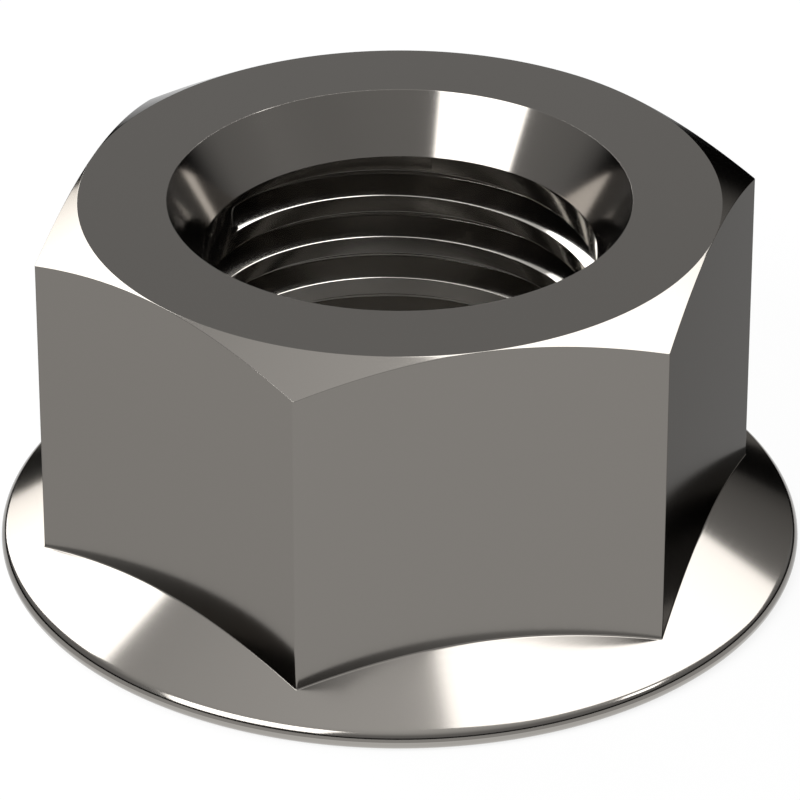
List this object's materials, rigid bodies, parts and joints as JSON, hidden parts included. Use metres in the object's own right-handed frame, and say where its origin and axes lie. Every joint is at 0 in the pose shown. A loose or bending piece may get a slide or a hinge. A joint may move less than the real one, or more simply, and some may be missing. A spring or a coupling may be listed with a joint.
{
  "type": "hexagon flange nut",
  "caption": "Steel hexagon nut with an integral conical flange, chamfered top corners and a countersunk threaded hole; clamps a joint without a loose washer.",
  "frame": {"origin": "centre of the hole in the plane of the bearing face, under the flange", "axes": "+Z along the hole from the bearing face to the chamfered top face; two corners of the hexagon lie on the X axis, two flats face +Y and -Y"},
  "size_m": [0.0178, 0.0178, 0.0086],
  "materials": {
    "nut_steel": "bright machined steel, dark warm grey, smooth and glossy"
  },
  "bodies": {
    "root": {"flange_nut": "nut_steel"}
  },
  "joints": []
}
